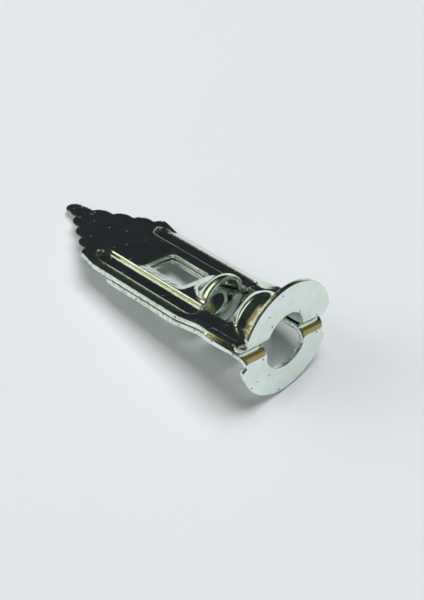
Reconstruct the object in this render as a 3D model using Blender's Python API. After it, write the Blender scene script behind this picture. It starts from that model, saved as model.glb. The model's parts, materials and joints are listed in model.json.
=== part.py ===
"""Hammer-in sheet-steel wall anchor with two spreading leaves.

One zinc-plated strip is folded double.  Each half ends in a half-disc flange at the head, and the two
leaves behind it lie face to face until a screw spreads them.  The parts are drawn in the anchor's own
frame, in millimetres: the screw axis is X, the flange faces +X, the point is at -X and the parting
plane of the two halves is Z = 0.  The frame empty then lays the whole anchor down on a flat surface.
"""
import math

import bmesh
import bpy
from mathutils import Matrix, Vector
from mathutils.geometry import delaunay_2d_cdt

MM = 0.001

# Driving dimensions, in millimetres.
HEAD_RADIUS = 6.5          # flange
HALF_WIDTH = 6.1           # leaves and neck
LENGTH = 33.0              # flange face to the point
SHEET = 0.55               # steel thickness
HALF_GAP = 0.06            # each half stays this far from the parting plane
BEND_RADIUS = 1.35         # outer radius of the bend from neck to flange

# Stations along the screw axis.
HINGE_X = -5.45            # where each leaf bends away from the neck
HINGE_GAP = 0.3            # clearance between neck and leaf along X
NECK_END_X = HINGE_X + HINGE_GAP / 2
LEAF_END_X = HINGE_X - HINGE_GAP / 2
NECK_SADDLE_X = -4.9       # rear edge of the upper neck's saddle
HOOD_MOUTH_X = -8.8        # front edge of the upper hood
LOWER_HOOD_MOUTH_X = -9.5  # front edge of the lower hood
LOWER_SADDLE_X = -8.9      # rear edge of the lower saddle
HOOD_LEVEL = 0.8           # length of a hood's full-height part
HOOD_RAMP = 2.4            # length of its closing ramp
WINDOW_FRONT_X = -12.9
WINDOW_REAR_X = -18.4
GROOVE_FRONT_X = -8.2
GROOVE_REAR_X = -23.3
POINT_BASE_X = -24.0       # the upper leaf narrows from here to its point
LOWER_BASE_X = -19.8       # the lower leaf narrows from here
LOWER_POINT_X = -27.6

# Widths and radii of the screw passage.
SADDLE_RADIUS = 2.75       # inside of the saddles
MOUTH_FLARE = 0.5          # how much wider the passage opens at the flange face
HOOD_RADIUS = 2.3          # inside of the hoods
SLOT_HALF = 3.3            # half width of the openings beside the saddles
NECK_SLOT_HALF = 2.75      # half width of the lower neck's opening
NOTCH_RISE = 1.05          # how far the lower flange's notch is centred short of the flange's foot
WINDOW_HALF = 1.95

# Pressed grooves, and the bands between them and the leaves' edges.
GROOVE_INNER = 3.1
GROOVE_OUTER = 5.2
GROOVE_DEPTH = 0.5
GROOVE_WALL = 0.35         # width of a sloping groove wall
RIM_DROP = 0.35            # how far the band outside a groove is pressed down
RIM_END = 0.8              # length in which the band comes back up at each end

# Serrated point.
TEETH = 4                  # on each side of the point
TOOTH_DEPTH = 0.55
POINT_TIP_HALF = 1.0       # half width of the blunt tip behind its rounding
TIP_RADIUS = 1.2
LOWER_TIP_RADIUS = 0.8

# Side fold that joins the two halves.
FOLD_Y = -6.0              # axis of the fold
FOLD_FRONT_X = -1.6
FOLD_CLEARANCE = 0.1       # between the fold and the edges of the neck halves
SHOULDER_STEP = 0.01       # length of the step where the neck widens in front of the fold

ARCH_STEP = 0.45           # spacing of the points that follow an arched section

ZINC = ((0.62, 0.65, 0.60), 0.28, 1.0)
ZINC_DARK = ((0.42, 0.46, 0.41), 0.30, 1.0)
ZINC_WARM = ((0.60, 0.58, 0.46), 0.30, 1.0)


def clear_scene():
    for item in list(bpy.data.objects):
        bpy.data.objects.remove(item, do_unlink=True)


def zinc_material(name, finish):
    colour, roughness, metallic = finish
    material = bpy.data.materials.new(name)
    material.use_nodes = True
    shader = material.node_tree.nodes["Principled BSDF"]
    shader.inputs["Base Color"].default_value = (*colour, 1.0)
    shader.inputs["Roughness"].default_value = roughness
    shader.inputs["Metallic"].default_value = metallic
    return material


def smooth_step(value):
    value = min(max(value, 0.0), 1.0)
    return value * value * (3.0 - 2.0 * value)


def spaced(start, end, count):
    return [start + (end - start) * i / count for i in range(count + 1)]


class Sheet:
    """A sheet of steel: paired inner and outer points, and the faces that both sides share."""

    def __init__(self):
        self.index = {}
        self.inner = []
        self.outer = []
        self.faces = []

    def vertex(self, inner, outer):
        key = tuple(round(c, 4) for c in inner)
        if key not in self.index:
            self.index[key] = len(self.inner)
            self.inner.append(Vector(inner))
            self.outer.append(Vector(outer))
        return self.index[key]

    def face(self, corners):
        corners = list(dict.fromkeys(corners))
        if len(corners) > 2:
            self.faces.append(corners)

    def grid(self, rows, keep=lambda row, column: True):
        """Faces between neighbouring rows of (inner, outer) pairs."""
        ids = [[self.vertex(*pair) for pair in row] for row in rows]
        for i in range(len(rows) - 1):
            for j in range(len(rows[0]) - 1):
                if keep(i, j):
                    self.face([ids[i][j], ids[i][j + 1], ids[i + 1][j + 1], ids[i + 1][j]])

    def build(self, name, finish, parent):
        mesh = bmesh.new()
        inner = [mesh.verts.new(p * MM) for p in self.inner]
        outer = [mesh.verts.new(p * MM) for p in self.outer]
        sides = {}
        for face in self.faces:
            mesh.faces.new([inner[i] for i in face])
            mesh.faces.new([outer[i] for i in reversed(face)])
            for a, b in zip(face, face[1:] + face[:1]):
                sides.setdefault(frozenset((a, b)), []).append((a, b))
        for uses in sides.values():
            if len(uses) == 1:
                a, b = uses[0]
                mesh.faces.new([inner[b], inner[a], outer[a], outer[b]])
        loose = [v for v in mesh.verts if not v.link_faces]
        bmesh.ops.delete(mesh, geom=loose, context="VERTS")
        bmesh.ops.recalc_face_normals(mesh, faces=mesh.faces)
        return add_object(name, mesh, finish, parent)


def add_object(name, mesh, finish, parent):
    data = bpy.data.meshes.new(name)
    mesh.to_mesh(data)
    mesh.free()
    data.shade_smooth()
    data.set_sharp_from_angle(angle=math.radians(35))
    data.materials.append(zinc_material(name, finish))
    item = bpy.data.objects.new(name, data)
    bpy.context.collection.objects.link(item)
    item.parent = parent
    item.matrix_parent_inverse = parent.matrix_local.inverted()
    return item


# Flat patterns: outlines in the X-Y plane, filled with triangles.

def inside(point, loop):
    result = False
    for (x1, y1), (x2, y2) in zip(loop, loop[1:] + loop[:1]):
        if (y1 > point[1]) != (y2 > point[1]):
            if point[0] < (x2 - x1) * (point[1] - y1) / (y2 - y1) + x1:
                result = not result
    return result


def fill_pattern(outline, holes, seeds):
    """Triangles of the outline less its holes, with the seeds as inner points."""
    points, edges = [], []
    for loop in [outline] + holes:
        first = len(points)
        points += loop
        edges += [(first + i, first + (i + 1) % len(loop)) for i in range(len(loop))]
    points += [s for s in seeds if inside(s, outline) and not any(inside(s, h) for h in holes)]
    flat = [Vector(p) for p in points]
    verts, _, faces = delaunay_2d_cdt(flat, edges, [], 0, 1e-6)[:3]
    kept = []
    for face in faces:
        centre = sum((verts[i] for i in face), Vector((0.0, 0.0))) / len(face)
        if inside(centre, outline) and not any(inside(centre, h) for h in holes):
            kept.append(face)
    return verts, kept


def along(points, step):
    """The same outline with points no further apart than the step."""
    result = []
    for a, b in zip(points, points[1:] + points[:1]):
        count = max(1, math.ceil(math.dist(a, b) / step))
        result += [(a[0] + (b[0] - a[0]) * i / count, a[1] + (b[1] - a[1]) * i / count)
                   for i in range(count)]
    return result


def tooth_edge(side):
    """Scalloped edge from the widest place to the blunt tip, on one side."""
    start = Vector((POINT_BASE_X, HALF_WIDTH))
    end = Vector((-LENGTH + TIP_RADIUS, POINT_TIP_HALF))
    along_edge = (end - start).normalized()
    inward = Vector((-along_edge.y, along_edge.x))
    if inward.y > 0:
        inward = -inward
    pitch = (end - start).length / TEETH
    points = []
    for tooth in range(TEETH):
        for part in range(6):
            travel = part / 6
            depth = TOOTH_DEPTH * (1.0 - abs(math.cos(math.pi * travel)) ** 0.8) if travel else 0.0
            point = start + along_edge * pitch * (tooth + travel) + inward * depth
            points.append((point.x, side * point.y))
    points.append((end.x, side * end.y))
    return points


def blunt_tip(end_x, radius):
    return [(end_x + radius - radius * math.cos(a), radius * math.sin(a))
            for a in (math.radians(d) for d in (60, 30, 0, -30, -60))]


def across(x, start, end, step):
    """Points on a straight edge across the leaf, close enough to follow an arched section."""
    return [(x, y) for y in spaced(start, end, round(abs(end - start) / step))]


def upper_outline():
    return ([(LEAF_END_X, SLOT_HALF), (LEAF_END_X, HALF_WIDTH)] + tooth_edge(1)
            + blunt_tip(-LENGTH, TIP_RADIUS) + tooth_edge(-1)[::-1]
            + [(LEAF_END_X, -HALF_WIDTH), (LEAF_END_X, -SLOT_HALF)]
            + across(HOOD_MOUTH_X, -SLOT_HALF, SLOT_HALF, ARCH_STEP))


def lower_outline():
    return (across(LEAF_END_X, -SLOT_HALF, SLOT_HALF, ARCH_STEP)
            + [(LEAF_END_X, HALF_WIDTH), (LOWER_BASE_X, HALF_WIDTH)]
            + blunt_tip(LOWER_POINT_X, LOWER_TIP_RADIUS)
            + [(LOWER_BASE_X, -HALF_WIDTH), (LEAF_END_X, -HALF_WIDTH)])


def box_outline(x_low, x_high, half):
    return (across(x_low, half, -half, ARCH_STEP) + across(x_high, -half, half, ARCH_STEP))


# Heights of the formed surfaces.

def pressed_depth(x, y):
    """How far the grooves and the bands outside them are pressed down at a place."""
    centre = (GROOVE_INNER + GROOVE_OUTER) / 2
    half = (GROOVE_OUTER - GROOVE_INNER) / 2
    end_x = min(max(x, GROOVE_REAR_X + half), GROOVE_FRONT_X - half)
    edge = half - math.hypot(x - end_x, abs(y) - centre)
    beside = smooth_step((GROOVE_FRONT_X - x) / RIM_END) * smooth_step((x - GROOVE_REAR_X) / RIM_END)
    rim = RIM_DROP * beside * smooth_step((abs(y) - centre) / half)
    return max(GROOVE_DEPTH * smooth_step(edge / GROOVE_WALL), rim)


def hood_height(x, mouth):
    """1 where a hood stands at its full height, falling to 0 at the end of its ramp."""
    return 1.0 - smooth_step((mouth - HOOD_LEVEL - x) / HOOD_RAMP)


def arched(y, height, radius):
    """Section of a channel round the screw axis: moves a flat strip's point onto the arc."""
    reach = math.acos(HALF_GAP / radius)
    if abs(y) >= radius or height <= 0.0:
        return y, HALF_GAP
    angle = reach * y / radius
    arc_y, arc_z = radius * math.sin(angle), radius * math.cos(angle)
    return y + (arc_y - y) * height, HALF_GAP + (arc_z - HALF_GAP) * height


def leaf_point(x, y, side):
    """Inner surface of a leaf, on the upper side (1) or the lower side (-1)."""
    if side > 0:
        new_y, height = arched(y, hood_height(x, HOOD_MOUTH_X), HOOD_RADIUS)
    elif x > (LOWER_SADDLE_X + LOWER_HOOD_MOUTH_X) / 2:
        new_y, height = arched(y, 1.0, SADDLE_RADIUS)
    else:
        new_y, height = arched(y, hood_height(x, LOWER_HOOD_MOUTH_X), HOOD_RADIUS)
    return Vector((x, new_y, side * height - pressed_depth(x, y)))


def offset_point(x, y, side):
    """Outer surface, one sheet thickness from the inner one."""
    step = 0.02
    inner = leaf_point(x, y, side)
    ahead = leaf_point(x + step, y, side) - leaf_point(x - step, y, side)
    across = leaf_point(x, y + step, side) - leaf_point(x, y - step, side)
    normal = ahead.cross(across).normalized() * side
    return inner + normal * SHEET


def leaf_seeds():
    """Inner points of a leaf's pattern: close together over the formed places."""
    columns = spaced(0.0, SADDLE_RADIUS, 7)
    for wall in (GROOVE_INNER, GROOVE_OUTER - GROOVE_WALL):
        columns += spaced(wall, wall + GROOVE_WALL, 2)
    columns += [4.15, 5.7]
    seeds = []
    stations = spaced(WINDOW_FRONT_X + 0.1, LEAF_END_X - 0.2, 16)
    stations += spaced(GROOVE_REAR_X - 0.2, WINDOW_FRONT_X - 0.5, 12)
    stations += spaced(-LENGTH + 1.5, POINT_BASE_X - 0.2, 7)
    for x in stations:
        for y in columns:
            seeds += [(x, y), (x, -y)] if y else [(x, y)]
    return seeds + groove_end_seeds()


def groove_end_seeds():
    centre = (GROOVE_INNER + GROOVE_OUTER) / 2
    half = (GROOVE_OUTER - GROOVE_INNER) / 2
    seeds = []
    for end_x, facing in ((GROOVE_REAR_X + half, 1), (GROOVE_FRONT_X - half, -1)):
        for radius in (half, half - GROOVE_WALL / 2, half - GROOVE_WALL):
            for degrees in range(105, 256, 30):
                turn = math.radians(degrees)
                x = end_x + facing * radius * math.cos(turn)
                y = centre + radius * math.sin(turn)
                seeds += [(x, y), (x, -y)]
    return seeds


def leaf(name, side, outline, holes, finish, parent):
    sheet = Sheet()
    verts, faces = fill_pattern(along(outline, 1.2), [along(h, 0.8) for h in holes], leaf_seeds())
    ids = [sheet.vertex(leaf_point(v.x, v.y, side), offset_point(v.x, v.y, side)) for v in verts]
    for face in faces:
        sheet.face([ids[i] for i in face])
    return sheet.build(name, finish, parent)


# Head: neck, bend and flange.

STRIP_STEPS = 3
ARC_STEPS = 16
BEND_STEPS = 5
FLANGE_FOOT = HALF_GAP + BEND_RADIUS
FLANGE_HALF = math.sqrt(HEAD_RADIUS ** 2 - FLANGE_FOOT ** 2)


def bend_station(turn, depth):
    """Station of the surface at a depth in the sheet, after some of the bend: (x, offset, arc offset)."""
    cosine = math.cos(turn)
    x = -BEND_RADIUS + (BEND_RADIUS - depth) * math.sin(turn)
    return x, BEND_RADIUS - (BEND_RADIUS - depth) * cosine, MOUTH_FLARE - (MOUTH_FLARE - depth) * cosine


def bend_stations():
    """Stations of the inner and of the outer surface through the bend, and the share of it, by angle."""
    shares = spaced(0.0, 1.0, BEND_STEPS)
    return [(bend_station(math.pi / 2 * s, 0.0), bend_station(math.pi / 2 * s, SHEET), s) for s in shares]


def edge_halves(x, flare):
    """Half widths on the fold's side, cut back to leave room for the fold, and on the free side."""
    wide = HALF_WIDTH + (FLANGE_HALF - HALF_WIDTH) * flare
    beside_fold = x < FOLD_FRONT_X + FOLD_CLEARANCE
    return (-FOLD_Y - FOLD_CLEARANCE if beside_fold else wide), wide


def strip(start, end, height):
    return [(y, height) for y in spaced(start, end, STRIP_STEPS)]


def upper_section(station, flare):
    """Strip, arc round the screw, strip: the neck's section at a station."""
    x, offset, arc_offset = station
    near, far = edge_halves(x, flare)
    radius, height = SADDLE_RADIUS + arc_offset, HALF_GAP + offset
    foot = math.sqrt(radius ** 2 - height ** 2)
    reach = math.acos(height / radius)
    arc = [(radius * math.sin(a), radius * math.cos(a)) for a in spaced(-reach, reach, ARC_STEPS)]
    return strip(-near, -foot, height)[:-1] + arc + strip(foot, far, height)[1:]


def lower_section(station, flare):
    """Two strips with the screw slot between them."""
    x, offset, _ = station
    near, far = edge_halves(x, flare)
    height = HALF_GAP + offset
    return strip(-near, -NECK_SLOT_HALF, height) + strip(NECK_SLOT_HALF, far, height)


def paired_row(section, inner, outer, flare, side):
    """Points across the neck or the bend on its inner and on its outer surface."""
    inner_points = section(inner, flare)
    outer_points = section((inner[0], *outer[1:]), flare)
    return [(Vector((inner[0], a[0], side * a[1])), Vector((outer[0], b[0], side * b[1])))
            for a, b in zip(inner_points, outer_points)]


def neck_rows(section, side):
    """Rows of paired points from the hinge end, through the bend, to the flange's foot line."""
    shoulder = FOLD_FRONT_X + FOLD_CLEARANCE
    stations = [NECK_END_X] + spaced(NECK_SADDLE_X, shoulder - SHOULDER_STEP, 4) + [shoulder]
    rows = [paired_row(section, (x, 0.0, 0.0), (x, SHEET, SHEET), 0.0, side) for x in stations]
    return rows + [paired_row(section, inner, outer, flare, side) for inner, outer, flare in bend_stations()]


def flange_fill(sheet, foot_line, side):
    """The flat half disc beyond the bend: its foot line, closed by the rim."""
    end = math.atan2(FLANGE_FOOT, FLANGE_HALF)
    rim = [(HEAD_RADIUS * math.cos(a), HEAD_RADIUS * math.sin(a))
           for a in spaced(end, math.pi - end, 36)][1:-1]
    outline = foot_line + rim
    verts, faces = fill_pattern(outline, [], [])
    ids = [sheet.vertex((0.0, v.x, side * v.y), (-SHEET, v.x, side * v.y)) for v in verts]
    for face in faces:
        sheet.face([ids[i] for i in face])


def upper_head(parent):
    """Neck half with the saddle, bent up into the upper half of the flange."""
    sheet = Sheet()
    rows = neck_rows(upper_section, 1)
    sheet.grid(rows, keep=lambda row, column: row > 0 or not 0 <= column - STRIP_STEPS < ARC_STEPS)
    flange_fill(sheet, [(p[0].y, p[0].z) for p in rows[-1]], 1)
    return sheet.build("upper_head", ZINC, parent)


def lower_head(parent):
    """Neck half with its screw slot, bent down into the lower half of the flange."""
    sheet = Sheet()
    rows = neck_rows(lower_section, -1)
    sheet.grid(rows, keep=lambda row, column: column != STRIP_STEPS)
    foot = [(p[0].y, -p[0].z) for p in rows[-1]]
    middle = len(foot) // 2
    centre = FLANGE_FOOT - NOTCH_RISE
    radius = math.hypot(NECK_SLOT_HALF, FLANGE_FOOT - centre)
    start = math.atan2(FLANGE_FOOT - centre, NECK_SLOT_HALF)
    notch = [(-radius * math.cos(a), centre + radius * math.sin(a))
             for a in spaced(start, math.pi - start, 18)][1:-1]
    flange_fill(sheet, foot[:middle] + notch + foot[middle:], -1)
    return sheet.build("lower_head", ZINC, parent)


def side_fold(parent):
    """Hem that joins the two neck halves along one edge."""
    sheet = Sheet()
    rows = []
    for x in (NECK_END_X, FOLD_FRONT_X):
        row = []
        for turn in spaced(math.pi / 2, math.pi * 1.5, 12):
            direction = Vector((0.0, math.cos(turn), math.sin(turn)))
            axis = Vector((x, FOLD_Y, 0.0))
            row.append((axis + direction * HALF_GAP, axis + direction * (HALF_GAP + SHEET)))
        rows.append(row)
    sheet.grid(rows)
    return sheet.build("side_fold", ZINC_WARM, parent)


# Frames.

def empty(name, location, parent=None):
    item = bpy.data.objects.new(name, None)
    item.location = Vector(location) * MM
    item.empty_display_size = 2 * MM
    item.parent = parent
    bpy.context.collection.objects.link(item)
    return item


def all_points():
    return [item.matrix_world @ v.co for item in bpy.data.objects if item.type == "MESH"
            for v in item.data.vertices]


def resting_rotation():
    """Finds the level plane that the flange rim, the point and one side of the leaves stand on."""
    points = all_points()
    groups = [[p for p in points if p.x > -BEND_RADIUS * MM],
              [p for p in points if p.x < POINT_BASE_X * MM and abs(p.y) < TIP_RADIUS * MM],
              [p for p in points if p.x < HINGE_X * MM and p.y > GROOVE_INNER * MM]]
    up = Vector((0.2, -0.2, 0.9)).normalized()
    for _ in range(20):
        rim, point, side = [min(group, key=up.dot) for group in groups]
        up = (side - rim).cross(point - rim).normalized()
        up *= math.copysign(1.0, up.z)
    forward = Vector((1.0, 0.0, 0.0))
    forward = (forward - up * forward.dot(up)).normalized()
    return Matrix((forward, up.cross(forward), up))


def lay_down(frame):
    """Turns the frame, then moves it so that the bottom centre of the whole is the origin."""
    frame.rotation_euler = resting_rotation().to_euler()
    bpy.context.view_layer.update()
    corners = all_points()
    low = [min(c[i] for c in corners) for i in range(3)]
    high = [max(c[i] for c in corners) for i in range(3)]
    frame.location = (-(low[0] + high[0]) / 2, -(low[1] + high[1]) / 2, -low[2])
    bpy.context.view_layer.update()


def main():
    clear_scene()
    frame = empty("anchor_frame", (0.0, 0.0, 0.0))
    upper_hinge = empty("upper_hinge", (HINGE_X, 0.0, 0.0), frame)
    lower_hinge = empty("lower_hinge", (HINGE_X, 0.0, 0.0), frame)
    bpy.context.view_layer.update()
    upper_head(frame)
    lower_head(frame)
    side_fold(frame)
    window = box_outline(WINDOW_REAR_X, WINDOW_FRONT_X, WINDOW_HALF)
    slit = box_outline(LOWER_HOOD_MOUTH_X, LOWER_SADDLE_X, SADDLE_RADIUS)
    leaf("upper_leaf", 1, upper_outline(), [window], ZINC_DARK, upper_hinge)
    leaf("lower_leaf", -1, lower_outline(), [window, slit], ZINC_DARK, lower_hinge)
    lay_down(frame)


main()
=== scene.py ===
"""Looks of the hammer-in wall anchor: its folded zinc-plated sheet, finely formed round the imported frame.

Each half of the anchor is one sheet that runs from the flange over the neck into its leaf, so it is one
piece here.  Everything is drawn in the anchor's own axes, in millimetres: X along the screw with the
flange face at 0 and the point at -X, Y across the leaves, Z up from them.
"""
import json
import math

import bpy
import numpy as np
from mathutils import Matrix, Vector, noise
from mathutils.geometry import delaunay_2d_cdt


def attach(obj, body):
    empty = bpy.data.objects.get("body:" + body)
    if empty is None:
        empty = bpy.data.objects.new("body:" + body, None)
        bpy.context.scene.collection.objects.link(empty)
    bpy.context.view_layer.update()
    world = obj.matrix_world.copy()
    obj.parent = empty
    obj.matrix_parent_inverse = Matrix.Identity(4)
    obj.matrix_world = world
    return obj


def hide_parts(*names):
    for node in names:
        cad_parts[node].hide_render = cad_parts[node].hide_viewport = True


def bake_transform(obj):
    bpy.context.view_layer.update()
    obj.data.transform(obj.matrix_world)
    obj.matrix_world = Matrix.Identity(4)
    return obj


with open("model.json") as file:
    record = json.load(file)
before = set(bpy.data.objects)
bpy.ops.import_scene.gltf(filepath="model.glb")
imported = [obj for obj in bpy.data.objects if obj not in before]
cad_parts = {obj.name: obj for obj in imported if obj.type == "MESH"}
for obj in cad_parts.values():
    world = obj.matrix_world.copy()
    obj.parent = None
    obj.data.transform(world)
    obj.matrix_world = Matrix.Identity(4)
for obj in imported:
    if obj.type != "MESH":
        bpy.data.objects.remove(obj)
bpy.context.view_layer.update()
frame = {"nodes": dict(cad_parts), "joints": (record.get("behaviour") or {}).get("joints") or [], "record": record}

MM = 0.001


# The anchor's own axes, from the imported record.

def joint_named(name):
    return next(j for j in frame["joints"] if j["name"] == name)


def mount_named(name):
    return next(m for m in frame["record"]["mounts"] if m["name"] == name)


def anchor_axes():
    """Matrix from the anchor's axes (metres) to the row frame, and the hinge's place along X in mm."""
    hinge = Vector(joint_named("upper_leaf_spread")["pos_m"])
    across = Vector(joint_named("upper_leaf_spread")["axis"]).normalized()
    face = mount_named("fixture_face_upper")
    forward = Vector(face["axis"]).normalized()
    reach = (Vector(face["pos_m"]) - hinge).dot(forward)
    origin = hinge + forward * reach
    turn = Matrix((forward, across, forward.cross(across))).transposed().to_4x4()
    return Matrix.Translation(origin) @ turn, -reach / MM


AXES, HINGE_X = anchor_axes()
SCREW_AXIS = AXES.to_3x3() @ Vector((1.0, 0.0, 0.0))


def local_box(node):
    """Lowest and highest corner of a CAD node in the anchor's own axes, in millimetres."""
    back = AXES.inverted()
    points = [back @ v.co / MM for v in frame["nodes"][node].data.vertices]
    return [min(p[i] for p in points) for i in range(3)], [max(p[i] for p in points) for i in range(3)]


# Driving sizes, in millimetres: the first ones come from the frame.
LENGTH = -local_box("upper_leaf")[0][0]
HALF_WIDTH = local_box("upper_leaf")[1][1]
HEAD_RADIUS = local_box("upper_head")[1][1]
LOWER_POINT_X = local_box("lower_leaf")[0][0]
NECK_END_X = local_box("side_fold")[0][0]
FOLD_FRONT_X = local_box("side_fold")[1][0]
SHEET = 0.55
HALF_GAP = 0.06
LEVEL = HALF_GAP + SHEET       # outer surface of a flat half above the parting plane
EDGE = 0.09                    # rounding of the sheared edges
BEND_RADIUS = 1.45             # bend from neck to flange, on the sheet's inner surface
BEND_BACK = BEND_RADIUS - SHEET
FILLET = 0.3                   # foot of a pressed channel, on its outer surface
FLANGE_CORNER = 0.4

# Stations along the screw axis.
SADDLE_END_X = -4.9
HOOD_MOUTH_X = -8.8
HOOD_LEVEL = 0.15              # level stretch behind the hood's mouth, before it slopes down
HOOD_RAMP = 3.4                # length of the slope
HOOD_NARROWING = 0.3           # how much narrower it gets down the slope, as a share
LOWER_SADDLE_FRONT_X = -5.6
LOWER_SADDLE_X = -8.9
LOWER_HOOD_X = -9.5
WINDOW_FRONT_X = -12.9
WINDOW_REAR_X = -18.4
GROOVE_FRONT_X = -8.2
GROOVE_REAR_X = -23.3
POINT_BASE_X = -24.0
LOWER_BASE_X = -19.8

# Screw passage and openings.
SADDLE_OUTSIDE = 3.15
SADDLE_RIDGE = 0.17            # raised ring round the upper saddle, and its place and width
SADDLE_RIDGE_X = -4.0
SADDLE_RIDGE_WIDTH = 0.5
SADDLE_ROLL = 0.2              # how far the saddle's rear edge is rolled in
SADDLE_ROLL_LENGTH = 0.5
LOWER_SADDLE_OUTSIDE = 3.3
LOWER_SADDLE_START = 0.5       # length in which the lower saddle's front rises
HOOD_OUTSIDE = 2.85
MOUTH_FLARE = 0.65             # how far the passage widens at the flange, on the sheet's inner surface
MOUTH_BACK_FLARE = 0.8         # the same on its outer surface
MOUTH_FILLET = 0.5             # the passage's foot at the flange's face
OPENING_HALF = 3.3
OPENING_CORNER = 0.25          # how far its corners are cut off
OPENING_STEPS = 48             # points across an opening's edge at a channel
NECK_SLOT_HALF = 2.75
NOTCH_RADIUS = 2.94
NOTCH_CENTRE = -0.36           # below the screw axis
WINDOW_HALF = 1.95
WINDOW_CORNER = 0.25
SLIT_CORNER = 0.2

# Pressed grooves and the lean of the narrow bands beside them.
GROOVE_INNER = 3.1
GROOVE_OUTER = 5.2
GROOVE_CENTRE = (GROOVE_INNER + GROOVE_OUTER) / 2
GROOVE_HALF = (GROOVE_OUTER - GROOVE_INNER) / 2
GROOVE_DEPTH = 0.42
GROOVE_FRONT_DEPTH = 0.3       # its depth at the head's end
GROOVE_LIP = 0.2               # width of the inner wall, which starts with a rounded lip
GROOVE_ROUNDING = 1.7          # power that rounds that lip
GROOVE_END_PINCH = 0.6         # how much steeper the wall is round the groove's ends
GROOVE_STEP = 0.2              # width of the low outer wall
RIM_DROP = 0.37                # how far the band outside a groove is pressed down
RIM_BEAD = 0.045               # height and width of the fine bead between the groove and the band
RIM_BEAD_WIDTH = 0.08
RIM_REAR = 2.4                 # lengths in which that band comes back up, at the point and at the head
RIM_FRONT = 4.5
RIM_END_X = SADDLE_END_X - 1.0
RIM_LEAN = math.tan(math.radians(11.0))       # slope of the band beyond the groove
WINDOW_LEAN = math.tan(math.radians(8.0))     # slope of the sheet beside the window
WINDOW_SAG_WIDTH = 1.3         # width of the leaning band at each side of the window
WINDOW_SAG_END = 0.9           # how far it reaches past the window's ends

# Toothed point.
TEETH = 4
TOOTH_DEPTH = 0.55
POINT_TIP_HALF = 1.0
TIP_RADIUS = 1.2
LOWER_TIP_RADIUS = 0.8
TOOTH_STEPS = 12               # points along each tooth
COINED = 0.6                   # width of the thinned border of the points
COINED_SHEET = 0.22            # thickness at their edges
COINED_START = 0.4             # how far in front of a point's base the thinning starts, and its length
COINED_FADE = 1.2

# Side fold.
FOLD_Y = -6.0
FOLD_GAP = 0.08                # between the fold's middle and the strips' edges
FOLD_PINCH = 0.12              # how far its front end is squeezed in and thinned
FOLD_SLANT = 0.5               # how much shorter it is on top
FOLD_TOP = 0.62                # width of the flat that it presses onto the upper strip
FOLD_RAISE = 0.09              # how far it stands above the strip
FOLD_LIP = 0.07                # how deep the flat's thin border sits in the strip
FOLD_TUCK = 0.05               # how deep its lower border sits in the lower strip
CREASE = 0.15                  # reach of its lower border over the lower strip
SHOULDER_STEP = 0.06           # the strips widen this far in front of the fold

# Flange.
FOOT_HEIGHT = HALF_GAP + BEND_RADIUS + 0.1    # where the flat flange begins
FOOT_RADIUS = SADDLE_OUTSIDE + MOUTH_BACK_FLARE + 0.05

# Unevenness of the stamped sheet: height, and waves per millimetre.
BROAD_WAVE = 0.014, 0.42
CLOSE_WAVE = 0.004, 1.5

# Mesh densities: spacings in millimetres, and numbers of steps.
COARSE = 0.3
FINE = 0.11
LOOP_SPACING = 0.22
ZONE_MARGIN = 0.15             # how far the fine spacing reaches past a groove
BEND_STEPS = 9
ARC_STEPS = 30
FILLET_STEPS = 5
STRIP_STEPS = 9
EDGE_STEPS = 3
NECK_STEPS = 18
NOTCH_STEPS = 40
FOLD_TURN_STEPS = 18
FOLD_LENGTH_STEPS = 14
WALL_ROWS = 6
WALL_STEPS = 150
WALL_END_STEPS = 30


def smooth(value):
    value = np.clip(value, 0.0, 1.0)
    return value * value * (3.0 - 2.0 * value)


def spaced(start, end, count):
    return [start + (end - start) * i / count for i in range(count + 1)]


# Formed surfaces: flat pattern (x, y) to the place in space, with the outer side up.

def channel(y, radius, rise, narrow):
    """Section of a channel pressed up round the screw: arc, then a fillet down to the flat sheet."""
    centre = LEVEL + FILLET
    foot = np.sqrt((radius + FILLET) ** 2 - centre ** 2)
    turn = np.pi / 2 - np.arctan2(centre, foot)
    share = np.clip(np.abs(y) / (foot * narrow), 0.0, 1.0)
    travel = share * (radius + FILLET) * turn
    lean = travel / radius
    back = -np.pi / 2 - turn + (travel - radius * turn) / FILLET
    on_arc = travel < radius * turn
    across = np.where(on_arc, radius * np.sin(lean), foot + FILLET * np.cos(back)) * narrow
    height = np.where(on_arc, radius * np.cos(lean), centre + FILLET * np.sin(back))
    across = np.where(share < 1.0, np.abs(y) + (across - np.abs(y)) * rise, np.abs(y))
    height = np.where(share < 1.0, LEVEL + (height - LEVEL) * rise, LEVEL)
    return np.sign(y) * across, height


def ramp_down(x, mouth):
    """Rise and width of a hood, which slopes down behind its mouth, slowly at first."""
    travel = np.clip((mouth - HOOD_LEVEL - x) / HOOD_RAMP, 0.0, 1.0)
    share = travel ** 3 * (6.0 * travel ** 2 - 15.0 * travel + 10.0)
    return 1.0 - share, 1.0 - HOOD_NARROWING * share


def saddle_outside(x):
    """Outer radius of the upper saddle: a ridge, a valley behind the flange and a rolled rear edge."""
    ridge = SADDLE_RIDGE * math.exp(-((x - SADDLE_RIDGE_X) / SADDLE_RIDGE_WIDTH) ** 2)
    rolled = float(smooth((SADDLE_END_X + SADDLE_ROLL_LENGTH - x) / SADDLE_ROLL_LENGTH))
    return SADDLE_OUTSIDE + ridge - SADDLE_ROLL * rolled


def upper_surface(x, y):
    rise, narrow = ramp_down(x, HOOD_MOUTH_X)
    rise = np.where(x > (SADDLE_END_X + HOOD_MOUTH_X) / 2, 0.0, rise)
    return channel(y, HOOD_OUTSIDE, rise, narrow)


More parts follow.
